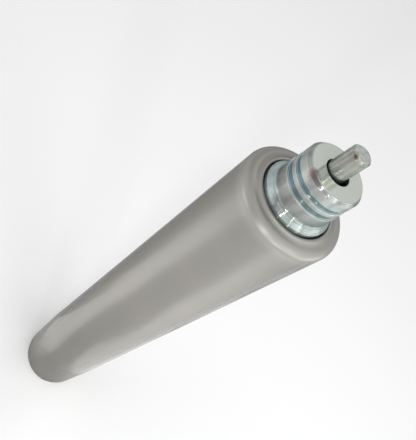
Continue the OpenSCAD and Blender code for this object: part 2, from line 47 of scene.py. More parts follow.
TAPER_LEN = 55.0
TAPER_ANGLE = math.radians(1.44)
FOOT_BEVEL = 0.6
SHOULDER_W = 4.2
SHOULDER_H = 3.7
MOUTH_R = 17.1
BEAD_W = 1.4
BEAD_H = 0.3
CROWN_FALL = 0.15
COLUMN_EDGE = 0.25
TAPER_BLEND = 40.0
SPUN_FROM = 291.0
SPUN_TO = 296.0


def arc(middle, width, height, start, end, steps):
    """Points (r, z, no rounding) along a stretch of an oval, between two angles in degrees."""
    points = []
    for step in range(steps + 1):
        angle = math.radians(start + (end - start) * step / steps)
        points.append((middle[0] + width * math.cos(angle), middle[1] + height * math.sin(angle), 0.0))
    return points


def rounded(corners, steps=5):
    """Turns corners (r, z, rounding) into a section's points, each with the way that the surface faces."""
    section = []
    for index, (r, z, rounding) in enumerate(corners):
        corner = Vector((r, z))
        before = Vector(corners[index - 1][:2])
        after = Vector(corners[(index + 1) % len(corners)][:2])
        arriving = (corner - before).normalized()
        leaving = (after - corner).normalized()
        out = Vector((arriving.y, -arriving.x))
        turn = math.atan2(arriving.cross(leaving), arriving.dot(leaving))
        if rounding == 0.0:
            faces = out + Vector((leaving.y, -leaving.x))
            section.append((corner, faces.normalized()))
            continue
        side = math.copysign(1.0, turn)
        start = corner - arriving * rounding * math.tan(abs(turn) / 2)
        centre = start - out * side * rounding
        for step in range(steps + 1):
            angle = turn * step / steps
            faces = Vector((
                out.x * math.cos(angle) - out.y * math.sin(angle),
                out.x * math.sin(angle) + out.y * math.cos(angle),
            ))
            section.append((centre + faces * side * rounding, faces))
    return section


def turned(name, corners, body, closed=True, across=0.0, turns=192):
    """Spins a section about the axis, with the section's own normals, and rides the piece on its body. An
    open section starts and ends on the axis, and across moves the whole piece along X."""
    section = rounded(corners)
    if not closed:
        section[0] = (section[0][0], Vector((0.0, -1.0)))
        section[-1] = (section[-1][0], Vector((0.0, 1.0)))
    rows = []
    points = []
    normals = []
    for corner, faces in section:
        copies = 1 if corner.x == 0.0 else turns
        rows.append(range(len(points), len(points) + copies))
        for copy in range(copies):
            angle = 2 * math.pi * copy / turns
            points.append((
                (corner.x * math.cos(angle) + across) * MM,
                corner.x * math.sin(angle) * MM,
                corner.y * MM,
            ))
            normals.append((faces.x * math.cos(angle), faces.x * math.sin(angle), faces.y))
    quads = []
    for low, high in zip(rows, rows[1:] + rows[:1] if closed else rows[1:]):
        for turn in range(turns):
            ring = [
                low[turn % len(low)], low[(turn + 1) % turns % len(low)],
                high[(turn + 1) % turns % len(high)], high[turn % len(high)],
            ]
            quads.append(list(dict.fromkeys(ring)))
    mesh = bpy.data.meshes.new(name)
    mesh.from_pydata(points, [], quads)
    mesh.shade_smooth()
    mesh.normals_split_custom_set_from_vertices(normals)
    piece = bpy.data.objects.new(name, mesh)
    bpy.context.scene.collection.objects.link(piece)
    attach(piece, body)
    return piece


class Tone:
    """One value in a finish's nodes. Arithmetic on it adds the Math nodes that work it out."""

    def __init__(self, tree, socket=None):
        self.tree = tree
        self.socket = socket

    def node(self, kind, settings, inputs, output=0):
        """Adds a node, sets it up, feeds its sockets with values or tones, and gives one of its outputs."""
        made = self.tree.nodes.new(kind)
        for setting, value in settings.items():
            setattr(made, setting, value)
        for socket, value in inputs.items():
            if isinstance(value, Tone):
                self.tree.links.new(value.socket, made.inputs[socket])
            else:
                made.inputs[socket].default_value = value
        return Tone(self.tree, made.outputs[output] if made.outputs else None)

    def math(self, operation, *values):
        return self.node("ShaderNodeMath", {"operation": operation}, dict(enumerate(values)))

    def __add__(self, other):
        return self.math("ADD", self, other)

    def __radd__(self, other):
        return self.math("ADD", other, self)

    def __sub__(self, other):
        return self.math("SUBTRACT", self, other)

    def __rsub__(self, other):
        return self.math("SUBTRACT", other, self)

    def __mul__(self, other):
        return self.math("MULTIPLY", self, other)

    def __rmul__(self, other):
        return self.math("MULTIPLY", other, self)

    def root(self):
        return self.math("SQRT", self)

    def rise(self, low, high):
        """0 up to low, 1 from high, and smooth between."""
        inputs = {"Value": self, "From Min": low, "From Max": high}
        return self.node("ShaderNodeMapRange", {"interpolation_type": "SMOOTHSTEP"}, inputs)

    def band(self, start, full, fading, gone):
        """0 up to start, 1 from full to fading, 0 again from gone, and smooth between."""
        return self.rise(start, full) * (1 - self.rise(fading, gone))

    def between(self, first, second):
        """A colour that goes from first to second as this tone goes from 0 to 1."""
        return self.node("ShaderNodeMix", {"data_type": "RGBA"}, {0: self, 6: first, 7: second}, 2)

    def vector(self, operation, *others, output=0):
        inputs = dict(enumerate((self,) + others))
        return self.node("ShaderNodeVectorMath", {"operation": operation}, inputs, output)

    def along(self, axis):
        """How far this point lies along an axis."""
        return self.node("ShaderNodeSeparateXYZ", {}, {"Vector": self}, axis)

    def off_axis(self):
        """How far this point lies from the lift's axis."""
        x = self.along("X")
        y = self.along("Y")
        return (x * x + y * y).root()

    def stretched(self, x, y, z):
        """The same point with its sides scaled, which draws a cloud on it out along the small ones."""
        return self.vector("MULTIPLY", (x, y, z))

    def leaning(self):
        """The surface's normal, leaned by this slope across the tool's lines, which run round the axis."""
        normal = self.node("ShaderNodeNewGeometry", {}, {}, "Normal")
        around = self.node("ShaderNodeTangent", {"direction_type": "RADIAL", "axis": "Z"}, {})
        across = normal.vector("CROSS_PRODUCT", around)
        lean = self.node("ShaderNodeVectorMath", {"operation": "SCALE"}, {0: across, "Scale": self})
        return normal.vector("ADD", lean).vector("NORMALIZE")

    def cloud(self, scale, detail=2.0):
        """Noise over the piece; scale is blotches to the metre."""
        inputs = {"Vector": self, "Scale": scale, "Detail": detail}
        return self.node("ShaderNodeTexNoise", {"noise_dimensions": "3D"}, inputs)

    def rings(self, pitch, detail=1.0):
        """Uneven lines along this length in metres, about pitch apart."""
        inputs = {"W": self, "Scale": 1 / pitch, "Detail": detail}
        return self.node("ShaderNodeTexNoise", {"noise_dimensions": "1D"}, inputs)

    def seen(self):
        """1 for what the camera sees, by itself, in metal or through glass, and 0 for what only lights."""
        seen = 0.0
        for ray in ("Is Camera Ray", "Is Glossy Ray", "Is Transmission Ray"):
            is_ray = self.node("ShaderNodeLightPath", {}, {}, ray)
            seen = self.math("MAXIMUM", is_ray, seen)
        return seen

    def relief(self, depth):
        """The surface's normal over bumps of this height, which is depth metres at 1."""
        return self.node("ShaderNodeBump", {}, {"Height": self, "Distance": depth, "Strength": 1.0})


def new_finish(name):
    """An empty material, and the point on the piece that its patterns start from."""
    material = bpy.data.materials.new(name)
    material.use_nodes = True
    material.node_tree.nodes.clear()
    point = Tone(material.node_tree).node("ShaderNodeTexCoord", {}, {}, "Object")
    return material, point


def coated(point, sockets):
    """Closes a finish with its shader."""
    shader = point.node("ShaderNodeBsdfPrincipled", {}, sockets)
    point.node("ShaderNodeOutputMaterial", {}, {"Surface": shader})


def grey(level):
    """A neutral colour."""
    return (level, level, level, 1.0)


def column_coat():
    """Silver-grey paint with metal flakes under a thin clear coat, paler on the shoulder."""
    material, point = new_finish("column_coat")
    warm = (0.315, 0.298, 0.275, 1.0)
    cool = (0.270, 0.272, 0.25, 1.0)
    paler = (0.39, 0.38, 0.357, 1.0)
    z = point.along("Z")
    spun = z.rise(SPUN_FROM * MM, SPUN_TO * MM)
    marks = (z - point.off_axis()).rings(0.5 * MM) * spun
    flake = point.cloud(2600, 1.0)
    tint = (point.cloud(26) * 1.8 - 0.4 + (flake - 0.5) * 0.7).between(cool, warm)
    tint = (spun * 0.5).between(tint, paler)
    peel = (point.cloud(800, 1.0) + marks * 2.4).relief(0.008 * MM)
    coated(point, {
        "Base Color": tint,
        "Metallic": 0.7,
        "Roughness": 0.38 + (flake - 0.5) * 0.12 + marks * 0.05,
        "Specular Tint": grey(0.06),
        "Coat Weight": 0.26,
        "Coat Roughness": 0.16,
        "Normal": peel,
    })
    return material


shoulder = (COLUMN_R - SHOULDER_W, COLUMN_LEN - BEAD_H - CROWN_FALL - SHOULDER_H)
crown_z = COLUMN_LEN - BEAD_H
foot_r = COLUMN_R - TAPER_LEN * math.tan(TAPER_ANGLE)
bore_r = COLUMN_R - COLUMN_WALL
column = turned("column_shell", [
    (foot_r - FOOT_BEVEL, 0.0, COLUMN_EDGE),
    (foot_r, FOOT_BEVEL, COLUMN_EDGE),
    (COLUMN_R, TAPER_LEN, TAPER_BLEND),
    *arc(shoulder, SHOULDER_W, SHOULDER_H, 0, 90, 24),
    *arc((MOUTH_R + BEAD_W / 2, crown_z), BEAD_W / 2, BEAD_H, 0, 180, 12),
    (MOUTH_R, crown_z - COLUMN_WALL, COLUMN_EDGE),
    *arc(shoulder, SHOULDER_W - COLUMN_WALL, SHOULDER_H - COLUMN_WALL, 90, 0, 10),
    (bore_r, TAPER_LEN, TAPER_BLEND),
    (foot_r - COLUMN_WALL, 0.0, COLUMN_EDGE),
], "column", turns=256)
column.data.materials.append(column_coat())
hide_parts("column_tube")


# Bottom plate. A cup pressed from steel sheet and welded into the tapered foot. The thrust bearing stands
# on it, and the rod's stepped end hangs through its hole.
def lined_metal(name, dull, bright, lines, roughness, depth, blotches, brushed=0.0):
    """A bare metal: fine tool lines, depth millimetres deep, in its colour, gloss and surface, under an
    uneven film of oil with this many blotches to the metre."""
    material, point = new_finish(name)
    marks = lines(point)
    film = point.cloud(blotches, 3.0)
    coated(point, {
        "Base Color": (film * 1.3 - 0.15 + (marks - 0.5) * 0.5).between(dull, bright),
        "Metallic": 1.0,
        "Roughness": roughness + (marks - 0.5) * 0.16 + (film - 0.5) * 0.14,
        "Anisotropic": brushed,
        "Anisotropic Rotation": 0.25,
        "Normal": marks.relief(depth * MM),
    })
    return material


def sheet_grain(point):
    """Rolling lines of sheet metal."""
    return point.stretched(0.05, 1.0, 1.0).cloud(1700, 2.0)


def wears(finish, *nodes):
    """Gives solids of the frame their finish."""
    for node in nodes:
        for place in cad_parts[node].material_slots:
            place.material = finish


plain_steel = lined_metal(
    "plain_steel", (0.34, 0.33, 0.315, 1.0), (0.47, 0.47, 0.475, 1.0), sheet_grain,
    roughness=0.36, depth=0.002, blotches=110,
)
wears(plain_steel, "bottom_plate")


# Guide sleeve. Moulded in black low-friction plastic, with a tube that the lift slides in and flanges and
# ribs that hold it in the column. It is pushed in before the shoulder is spun over it.
def sleeve_plastic():
    """Black plastic with the flow marks of moulding and a fine eroded grain."""
    material, point = new_finish("sleeve_plastic")
    grain = point.cloud(3200, 2.0)
    flow = point.stretched(1.0, 1.0, 0.25).cloud(120, 3.0)
    coated(point, {
        "Base Color": (flow * 1.4 - 0.2).between((0.014, 0.014, 0.015, 1.0), (0.028, 0.028, 0.03, 1.0)),
        "Roughness": 0.46 + (grain - 0.5) * 0.2 + (flow - 0.5) * 0.1,
        "IOR": 1.48,
        "Normal": grain.relief(0.006 * MM),
    })
    return material


wears(sleeve_plastic(), "guide_sleeve")


# Thrust bearing. Two hardened races with ground grooves and nine balls in a brass cage, between the bottom
# plate and the rod, so that the seat turns freely under load.
def ground_circles(point):
    """Grinding marks round the axis."""
    return (point.along("Z") + point.off_axis() * 1.1).rings(0.05 * MM, 2.0)


bearing_steel = lined_metal(
    "bearing_steel", (0.50, 0.51, 0.53, 1.0), (0.62, 0.63, 0.65, 1.0), ground_circles,
    roughness=0.17, depth=0.0006, blotches=260, brushed=0.4,
)
cage_brass = lined_metal(
    "cage_brass", (0.50, 0.35, 0.14, 1.0), (0.68, 0.52, 0.24, 1.0), sheet_grain,
    roughness=0.33, depth=0.002, blotches=180,
)
wears(bearing_steel, "bearing_race_lower", "bearing_race_upper", "bearing_balls")
wears(cage_brass, "ball_cage")


# Piston rod. Ground and hard-chromed, stepped at its foot for the washers and the clip, and riveted over
# the piston at its tip. It hangs in the bottom plate and never moves up or down.
def polish_lines(point):
    """Grinding lines round the rod, with a few longer scratches along it."""
    scratch = point.stretched(1.0, 1.0, 0.02).cloud(2600, 1.0)
    return (point.along("Z") + point.off_axis()).rings(0.045 * MM, 2.0) * 0.7 + scratch * 0.3


ground_rod = lined_metal(
    "ground_rod", (0.53, 0.545, 0.565, 1.0), (0.63, 0.645, 0.665, 1.0), polish_lines,
    roughness=0.13, depth=0.0005, blotches=140, brushed=0.5,
)
wears(ground_rod, "piston_rod")


# Washers, buffer and clip. Pressed steel washers above and below, a rubber ring that the lowered lift comes
# down on, and a blackened spring clip that keeps the rod in the bottom plate.
def rubber():
    """Black rubber with a grey bloom."""
    material, point = new_finish("rubber")
    grain = point.cloud(2600, 3.0)
    bloom = point.cloud(150, 3.0)
    coated(point, {
        "Base Color": (bloom * 1.8 - 0.5).between((0.011, 0.011, 0.011, 1.0), (0.034, 0.033, 0.031, 1.0)),
        "Roughness": 0.52 + (grain - 0.5) * 0.2 + (bloom - 0.5) * 0.16,
        "IOR": 1.5,
        "Normal": grain.relief(0.008 * MM),
    })
    return material


def tumbled(point):
    """The even dimples of a blanked and tumbled piece."""
    return point.cloud(3400, 3.0)


nitrile = rubber()
spring_steel = lined_metal(
    "spring_steel", (0.045, 0.047, 0.054, 1.0), (0.15, 0.15, 0.16, 1.0), tumbled,
    roughness=0.42, depth=0.003, blotches=420,
)
wears(plain_steel, "support_washer", "clip_washer")
wears(nitrile, "rubber_buffer")
wears(spring_steel, "retaining_clip")


# Piston. Turned aluminium with a groove for its rubber ring and a steel washer over it. It stays at the top
# of the rod while the lift's inner cylinder slides over it.
def lathe_lines(point):
    """Feed lines of the lathe, on faces and on walls."""
    return (point.along("Z") * 1.2 + point.off_axis()).rings(0.13 * MM, 2.0)


guide_metal = lined_metal(
    "guide_metal", (0.52, 0.53, 0.54, 1.0), (0.68, 0.69, 0.70, 1.0), lathe_lines,
    roughness=0.31, depth=0.003, blotches=150, brushed=0.5,
)
wears(guide_metal, "piston")
wears(nitrile, "piston_seal")
wears(plain_steel, "piston_washer")


# Pressure tube. Drawn steel tube in smooth gloss black, crimped to the head above and rolled over the guide
# stack below. Sliding in the sleeve leaves fine lines along it.
TUBE_R = 14.0
TUBE_WALL = 1.5
TUBE_FOOT = 32.72
TUBE_TOP = 298.75
TUBE_LIP_R = 8.5
TUBE_BEND = 2.0
CRIMP_Z = 291.8
CRIMP_H = 1.5
CRIMP_DEPTH = 0.7
TUBE_EDGE = 0.15


def black_tube():
    """Gloss black with a haze, and fine lines where it slides."""
    material, point = new_finish("black_tube")
    lines = point.stretched(1.0, 1.0, 0.015).cloud(1500, 2.0)
    rubbed = point.stretched(1.0, 1.0, 0.03).cloud(420, 2.0).rise(0.55, 0.75)
    haze = point.cloud(70, 3.0)
    coated(point, {
        "Base Color": (haze * 1.4 - 0.2 + rubbed * 0.3).between(
            (0.012, 0.012, 0.0135, 1.0), (0.028, 0.028, 0.031, 1.0)),
        "Roughness": 0.2 + (lines - 0.5) * 0.12 + (haze - 0.5) * 0.1 + rubbed * 0.07,
        "IOR": 1.42,
        "Coat Weight": 0.15,
        "Coat Roughness": 0.08,
        "Normal": (lines + haze * 0.3).relief(0.0022 * MM),
    })
    return material


inner_bend = TUBE_BEND - TUBE_WALL
tube_bore = TUBE_R - TUBE_WALL
tube = turned("pressure_shell", [
    (TUBE_LIP_R, TUBE_FOOT, TUBE_EDGE),
    *arc((TUBE_R - TUBE_BEND, TUBE_FOOT + TUBE_BEND), TUBE_BEND, TUBE_BEND, 270, 360, 10),
    *arc((TUBE_R, CRIMP_Z), CRIMP_DEPTH, CRIMP_H, 270, 90, 12),
    (TUBE_R, TUBE_TOP, TUBE_EDGE),
    (tube_bore, TUBE_TOP, TUBE_EDGE),
    *arc((tube_bore, CRIMP_Z), CRIMP_DEPTH, CRIMP_H, 90, 270, 12),
    *arc((tube_bore - inner_bend, TUBE_FOOT + TUBE_BEND), inner_bend, inner_bend, 360, 270, 6),
    (TUBE_LIP_R, TUBE_FOOT + TUBE_WALL, TUBE_EDGE),
], "lift")
tube.data.materials.append(black_tube())
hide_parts("pressure_tube")


# Guide stack. Held by the tube's rolled lip: a steel washer, a rubber lip seal on the rod, and a turned
# guide lined with a low-friction bush, with a rubber ring against the tube and notches that pass the gas.
def bush_plastic():
    """Grey-green plastic with bronze specks, worn along the way that it slides."""
    material, point = new_finish("bush_plastic")
    specks = point.cloud(5200, 2.0).rise(0.6, 0.72)
    worn = point.stretched(1.0, 1.0, 0.1).cloud(500, 2.0)
    body = (worn * 1.4 - 0.2).between((0.20, 0.22, 0.19, 1.0), (0.30, 0.31, 0.27, 1.0))
    coated(point, {
        "Base Color": specks.between(body, (0.42, 0.30, 0.16, 1.0)),
        "Metallic": specks * 0.8,
        "Roughness": 0.5 + (worn - 0.5) * 0.2 - specks * 0.12,
        "Normal": (worn + specks * 0.3).relief(0.003 * MM),
    })
    return material


low_friction = bush_plastic()
wears(plain_steel, "end_washer")
wears(nitrile, "rod_seal", "guide_ring_seal")
wears(guide_metal, "rod_guide")
wears(low_friction, "rod_bush")


# Inner cylinder. Thin drawn steel tube between the guide and the valve body, honed inside for the piston's
# ring; the gas passes outside it.
def draw_lines(point):
    """Long lines of a drawn tube."""
    return point.stretched(1.0, 1.0, 0.03).cloud(2200, 2.0)


drawn_steel = lined_metal(
    "drawn_steel", (0.42, 0.42, 0.425, 1.0), (0.55, 0.555, 0.565, 1.0), draw_lines,
    roughness=0.26, depth=0.0014, blotches=90,
)
wears(drawn_steel, "inner_cylinder")


# Valve. A turned brass body sealed in the pressure tube above and in the inner cylinder below, with a port
# across it, and a ground steel stem that opens the port when the release pin pushes it down.
valve_brass = lined_metal(
    "valve_brass", (0.56, 0.40, 0.16, 1.0), (0.76, 0.59, 0.28, 1.0), lathe_lines,
    roughness=0.27, depth=0.0028, blotches=210, brushed=0.5,
)
wears(valve_brass, "valve_body")
wears(nitrile, "valve_ring_seal", "spigot_ring_seal", "stem_seal", "valve_seat_seal")
wears(low_friction, "stem_seal_retainer")
wears(bearing_steel, "valve_stem")


# Head. Turned from steel bar: a flange over the tube's end, a 28 mm taper for the seat plate, two grooves
# for retaining rings and a bevelled face with the hole for the release pin. Its zinc plating is milky on the
# lands and blue to green in the grooves and on the cone, with a brown stain at one side. Painted light is
# mixed in: shade darkens the grooves' blue, a highlight is painted on their edges, the face is painted paler
# for the light that it mirrors from above, and a pinkish patch towards the camera is a painted dark
# reflection.
HEAD_TOP = 321.0
NECK_R = 13.9
NECK_ANGLE = math.radians(1.44)
FLANGE_R = 16.2
FLANGE_TOP = 301.0
FLANGE_T = 2.2
FLANGE_CONE_H = 1.5
NECK_FILLET = 0.9
GROOVES = ((309.2, 311.85), (313.7, 316.0))
GROOVE_DEPTH = 0.7
HEAD_BEVEL_H = 1.5
HEAD_BEVEL_W = 1.2
NECK_START = FLANGE_TOP + FLANGE_CONE_H + NECK_FILLET
BEVEL_START = HEAD_TOP - HEAD_BEVEL_H
HEAD_EDGE = 0.12
BEVEL_EDGE = 0.3
FLANGE_RIM_DROP = 0.15
FLANGE_EDGE = 0.2
PIN_HOLE_R = 5.5
HOLE_BEVEL_W = 0.15
HOLE_BEVEL_H = 0.3
HOLE_TOP_EDGE = 0.25
HOLE_EDGE = 0.2
CHAMBER_R = 7.4
CHAMBER_ROOF = 308.0
SPIGOT_R = 12.45
SPIGOT_END = 284.8
SEAT_GAP = 0.05
# Where the painted dark reflection sits, on the head's side towards the camera.
REFLECTION_PLACE = (-1.5, -13.6, 312.0)
STAIN_PLACE = (-3.9, -12.2, 320.3)


def neck_r(z):
    """Radius of the head's taper at a height."""
    return NECK_R - (z - COLUMN_LEN) * math.tan(NECK_ANGLE)


def groove_marks(z):
    """Two masks by height: the insides of the ring grooves, and the edges beside them, where a highlight is
    painted.
    """
    inside = 0.0
    edge_glints = 0.0
    for low, high in GROOVES:
        inside = inside + z.band(
            (low + 0.02) * MM, (low + 0.12) * MM, (high - 0.12) * MM, (high - 0.02) * MM)
        for edge in (low, high):
            edge_glints = edge_glints + z.band(
                (edge - 0.22) * MM, (edge - 0.05) * MM, (edge + 0.05) * MM, (edge + 0.2) * MM)
    return inside, edge_glints


def patch(point, place, flattened, ragged, core, reach):
    """1 within core of a place and 0 from reach on, ragged at its edge, all in millimetres. The more that
    heights are flattened, the taller the patch."""
    x, y, z = place
    centre = (x * MM, y * MM, z * flattened * MM)
    away = point.stretched(1.0, 1.0, flattened).vector("DISTANCE", centre, output=1)
    return 1 - (away + ragged * MM).rise(core * MM, reach * MM)


def zinc_plate():
    """Zinc over turned steel, layer by layer: clouds and streaks, patches, a painted dark reflection, casts,
    a face painted paler, stain, painted shade in the grooves and a painted highlight on their edges.
    """
    material, point = new_finish("zinc_plate")
    milky = (0.395, 0.45, 0.445, 1.0)
    silver = (0.485, 0.51, 0.485, 1.0)
    warm_grey = (0.40, 0.39, 0.365, 1.0)
    groove_blue_shaded = (0.185, 0.26, 0.30, 1.0)
    groove_teal_shaded = (0.165, 0.228, 0.218, 1.0)
    pale_blue = (0.485, 0.57, 0.58, 1.0)
    pale_green = (0.44, 0.51, 0.48, 1.0)
    face_painted_pale = (0.66, 0.705, 0.635, 1.0)
    bright = (0.80, 0.88, 0.88, 1.0)
    dull = (0.24, 0.24, 0.235, 1.0)
    reflection_dark = (0.25, 0.215, 0.22, 1.0)
    stained = (0.17, 0.12, 0.13, 1.0)
    z = point.along("Z")
    radius = point.off_axis()
    wall = radius.rise(11.5 * MM, 12.4 * MM)
    inside, edge_glints = groove_marks(z)
    in_groove = inside * (1 - radius.rise(13.1 * MM, 13.3 * MM)) * wall
    cone = (1 - z.rise((NECK_START - 0.4) * MM, (NECK_START + 0.8) * MM)) * wall
    land = wall * (1 - cone) * (1 - in_groove)
    face = z.rise((HEAD_TOP - 0.4) * MM, (HEAD_TOP - 0.1) * MM)
    bevel = z.rise((BEVEL_START - 0.1) * MM, (BEVEL_START + 0.2) * MM) * (1 - face)
    face_rim = z.rise((HEAD_TOP - 0.5) * MM, (HEAD_TOP - 0.3) * MM) * radius.rise(11.9 * MM, 12.05 * MM)
    cut = z * 1.3 + radius * 0.6
    fine = cut.rings(0.05 * MM, 1.0)
    lines = cut.rings(0.22 * MM, 2.0)
    veil = point.cloud(170, 3.0)
    speckle = point.cloud(900, 3.0)
    patches = point.stretched(1.0, 1.0, 0.35).cloud(62, 2.0).rise(0.42, 0.62)
    streaks = point.stretched(1.0, 1.0, 0.12).cloud(520, 2.0)
    spots = point.stretched(1.0, 1.0, 0.25).cloud(330, 3.0).rise(0.46, 0.7)
    # Painted dark reflection: a pinkish patch on the side towards the camera, where the head mirrors what
    # stands in front.
    painted_reflection = patch(point, REFLECTION_PLACE, 0.25, (streaks - 0.5) * 9, core=1.5, reach=6.0)
    painted_reflection = painted_reflection * (0.3 + bevel * 0.5 + cone * 0.5)
    stain = patch(point, STAIN_PLACE, 1.0, (streaks - 0.5) * 2, core=0.6, reach=3.4)
    greener = (point.along("X") + veil * 6 * MM).rise(0.0, 6 * MM)
    tint = (veil * 1.2 - 1.1 + streaks * 2 + (lines - 0.5) * 0.6).between(milky, silver)
    for share, colour in (
        (patches * land * (streaks * 1.6 - 0.35), warm_grey),
        (spots * wall * 0.55, dull),
        (painted_reflection * wall, reflection_dark),
        (cone * (0.3 + veil * 0.8) * (1 - painted_reflection), greener.between(pale_blue, pale_green)),
        (bevel * 0.45, dull),
        # Painted highlight: the face is painted paler for the light that it mirrors from above; its
        # grey-green is its own.
        (face * (0.7 + (veil + speckle) * 0.25), face_painted_pale),
        (face_rim * 0.5, dull),
        (stain * 0.8, stained),
        # Painted shade: the grooves' blue to teal is the plating's own, darkened as shade in the recess.
        (in_groove * 0.95, greener.between(groove_blue_shaded, groove_teal_shaded)),
        # Painted highlight: a white line along each edge of the grooves.
        (edge_glints * wall * 0.8, bright),
    ):
        tint = share.between(tint, colour)
    polish = in_groove * 0.21 + bevel * 0.14 + cone * 0.19 + face * 0.16
    ridges = (fine * 2 - 1) * (0.12 - face * 0.04 + land * 0.5 + in_groove * 3.4 + cone * 1.7)
    waves = (lines - 0.5) * (0.08 + 0.2 * land - face * 0.05)
    coated(point, {
        "Base Color": tint,
        "Metallic": 0.95 - cone * 0.2 - face * 0.25,
        "Roughness": 0.31 + (lines - 0.5) * 0.1 + (veil - 0.5) * 0.1 - polish,
        "Specular Tint": (0.5, 0.52, 0.52, 1.0),
        "Normal": (ridges + waves).leaning(),
    })
    return material


head_corners = [
    (CHAMBER_R, SPIGOT_END, HEAD_EDGE),
    (SPIGOT_R, SPIGOT_END, HEAD_EDGE),
    *arc((SPIGOT_R, CRIMP_Z), CRIMP_DEPTH, CRIMP_H + SEAT_GAP, 270, 90, 12),
    (SPIGOT_R, FLANGE_TOP - FLANGE_T, HEAD_EDGE),
    (FLANGE_R, FLANGE_TOP - FLANGE_T, HEAD_EDGE),
    (FLANGE_R, FLANGE_TOP - FLANGE_RIM_DROP, FLANGE_EDGE),
    *arc((neck_r(NECK_START) + NECK_FILLET, NECK_START), NECK_FILLET, NECK_FILLET, 250, 180, 8),
]
for low, high in GROOVES:
    head_corners += [
        (neck_r(low), low, HEAD_EDGE),
        (neck_r(low) - GROOVE_DEPTH, low, HEAD_EDGE),
        (neck_r(high) - GROOVE_DEPTH, high, HEAD_EDGE),
        (neck_r(high), high, HEAD_EDGE),
    ]
head_corners += [
    (neck_r(BEVEL_START), BEVEL_START, BEVEL_EDGE),
    (neck_r(BEVEL_START) - HEAD_BEVEL_W, HEAD_TOP, BEVEL_EDGE),
    (PIN_HOLE_R + HOLE_BEVEL_W, HEAD_TOP, HOLE_TOP_EDGE),
    (PIN_HOLE_R, HEAD_TOP - HOLE_BEVEL_H, HOLE_EDGE),
    (PIN_HOLE_R, CHAMBER_ROOF, HEAD_EDGE),
    (CHAMBER_R, CHAMBER_ROOF, HEAD_EDGE),
]
head = turned("head_body", head_corners, "lift", turns=256)
head.data.materials.append(zinc_plate())
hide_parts("tapered_head")


# Release pin. Turned from steel bar and zinc plated, loose in the head, where it stands a little to one
# side. Its foot keeps it in, and its nose pushes the valve stem when the seat's lever presses the pin.
PIN_R = 4.45
PIN_TOP = 332.9
PIN_BEVEL = 0.8
PIN_DRIFT = -0.6
PIN_FOOT_R = 6.5
PIN_FOOT_TOP = 307.7
PIN_FOOT_BOTTOM = 305.2
PIN_NOSE_R = 3.5
PIN_NOSE_END = 300.2
PIN_EDGE = 0.2
PIN_FOOT_EDGE = 0.3
PIN_TIP_EDGE = 0.25
# Where the painted dark reflection sits, on the pin's side towards the camera.
PIN_REFLECTION_PLACE = (-1.5, -4.3, 332.0)
PIN_STAIN_PLACE = (-1.3, -4.1, 332.5)


def pin_zinc():
    """Zinc over turned steel, streaked along the pin and speckled on its end, with a painted dark reflection
    on the side towards the camera, and a stain.
    """
    material, point = new_finish("pin_zinc")
    pale = (0.50, 0.515, 0.47, 1.0)
    deep = (0.25, 0.265, 0.24, 1.0)
    reflection_dark = (0.22, 0.195, 0.185, 1.0)
    stained = (0.11, 0.06, 0.055, 1.0)
    end_grey = (0.58, 0.62, 0.575, 1.0)
    z = point.along("Z")
    radius = point.off_axis()
    wall = radius.rise(3.2 * MM, 3.7 * MM)
    end = z.rise((PIN_TOP - 0.2) * MM, (PIN_TOP - 0.05) * MM)
    cut = z * 1.3 + radius * 0.8
    fine = cut.rings(0.05 * MM, 1.0)
    lines = cut.rings(0.2 * MM, 2.0)
    veil = point.cloud(240, 3.0)
    speckle = point.cloud(800, 3.0)
    streaks = point.stretched(1.0, 1.0, 0.1).cloud(520, 2.0)
    # Painted dark reflection: a darker patch on the side towards the camera, where the pin mirrors what
    # stands in front.
    painted_reflection = patch(point, PIN_REFLECTION_PLACE, 0.3, (streaks - 0.5) * 4, core=0.6, reach=3.2)
    stain = patch(point, PIN_STAIN_PLACE, 1.0, speckle - 0.5, core=0.25, reach=1.2)
    tint = (veil * 1.2 - 1.1 + streaks * 2.0 + (lines - 0.5) * 0.5).between(deep, pale)
    for share, colour in (
        (painted_reflection * 0.7, reflection_dark),
        (stain * 0.85, stained),
        (end * (speckle * 2.4 - 0.55), end_grey),
    ):
        tint = share.between(tint, colour)
    coated(point, {
        "Base Color": tint,
        "Metallic": 0.95 - end * 0.25,
        "Roughness": 0.21 + (lines - 0.5) * 0.1 + (veil - 0.5) * 0.1,
        "Specular Tint": grey(0.6),
        "Normal": ((fine - 0.5) * (0.25 + wall * 0.5) + (lines - 0.5) * 0.12).leaning(),
    })
    return material


pin = turned("release_button", [
    (0.0, PIN_NOSE_END, 0.0),
    (PIN_NOSE_R, PIN_NOSE_END, PIN_EDGE),
    (PIN_NOSE_R, PIN_FOOT_BOTTOM, PIN_EDGE),
    (PIN_FOOT_R, PIN_FOOT_BOTTOM, PIN_FOOT_EDGE),
    (PIN_FOOT_R, PIN_FOOT_TOP, PIN_EDGE),
    (PIN_R, PIN_FOOT_TOP, PIN_EDGE),
    (PIN_R, PIN_TOP - PIN_BEVEL, PIN_TIP_EDGE),
    (PIN_R - PIN_BEVEL, PIN_TOP, PIN_TIP_EDGE),
    (0.0, PIN_TOP, 0.0),
], "release", closed=False, across=PIN_DRIFT, turns=128)
pin.data.materials.append(pin_zinc())
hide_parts("release_pin")


# Floor. A pale sheet of paper under the foot, plain apart from a faint cloudiness. Its little glow is only
# for what sees it, straight or mirrored in metal, and doesn't light the lift.
FLOOR_HALF = 3.0
FLOOR_GLOW = 0.02


def floor_paper():
    """Matt white paper."""
    material, point = new_finish("floor_paper")
    coated(point, {
        "Base Color": (point.cloud(3) * 0.2).between(grey(0.84), (0.82, 0.82, 0.825, 1.0)),
        "Roughness": 0.9,
        "Emission Color": point.seen().between(grey(0.0), grey(FLOOR_GLOW)),
        "Emission Strength": 1.0,
    })
    return material


